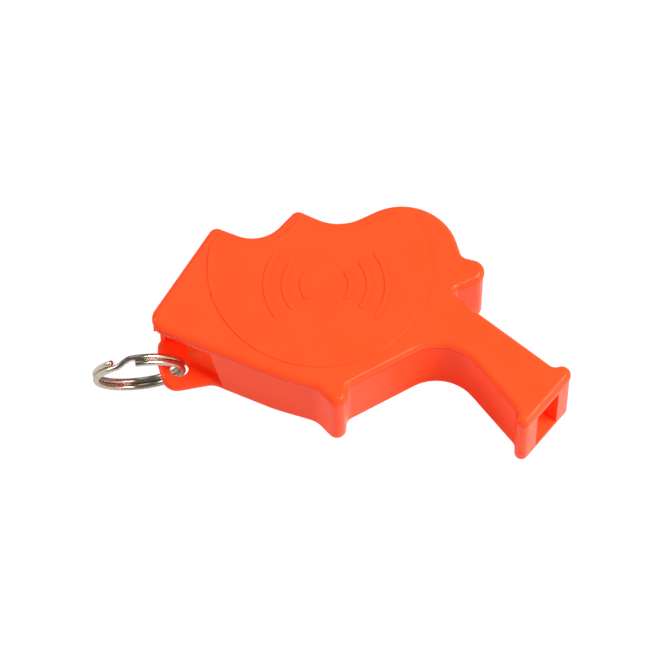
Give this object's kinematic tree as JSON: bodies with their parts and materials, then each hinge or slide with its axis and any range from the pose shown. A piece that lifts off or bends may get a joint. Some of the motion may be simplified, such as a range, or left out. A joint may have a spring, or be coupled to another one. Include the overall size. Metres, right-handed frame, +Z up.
{
  "type": "training whistle",
  "caption": "Flat moulded pea whistle with a scalloped grip edge, straight blow tube, loose ball in a round chamber and a steel split ring in a corner tab.",
  "frame": {"origin": "on the flat underside of the case, below the round belly", "axes": "+X along the blow tube towards the mouth, +Y towards the scalloped grip edge, +Z up out of the cover plate"},
  "size_m": [0.065, 0.0553, 0.0193],
  "materials": {
    "orange_plastic": "glossy moulded",
    "orange_plastic_cover": "glossy moulded",
    "pea_plastic": "glossy moulded",
    "nickel_steel": "bright nickel plate"
  },
  "bodies": {
    "case": {"body_moulding": "orange_plastic", "cover_plate": "orange_plastic_cover"},
    "pea": {"pea": "pea_plastic"},
    "ring": {"split_ring": "nickel_steel"}
  },
  "joints": [
    {"name": "pea_roll", "type": "hinge", "parent": "case", "child": "pea", "pos_m": [-0.0016, 0.0005, 0.0065], "axis": [0, 0, 1], "continuous": true},
    {"name": "ring_swing", "type": "hinge", "parent": "case", "child": "ring", "pos_m": [-0.01498, -0.02185, 0.0012], "axis": [0, 0, 1], "range_deg": [-45, 100]}
  ]
}
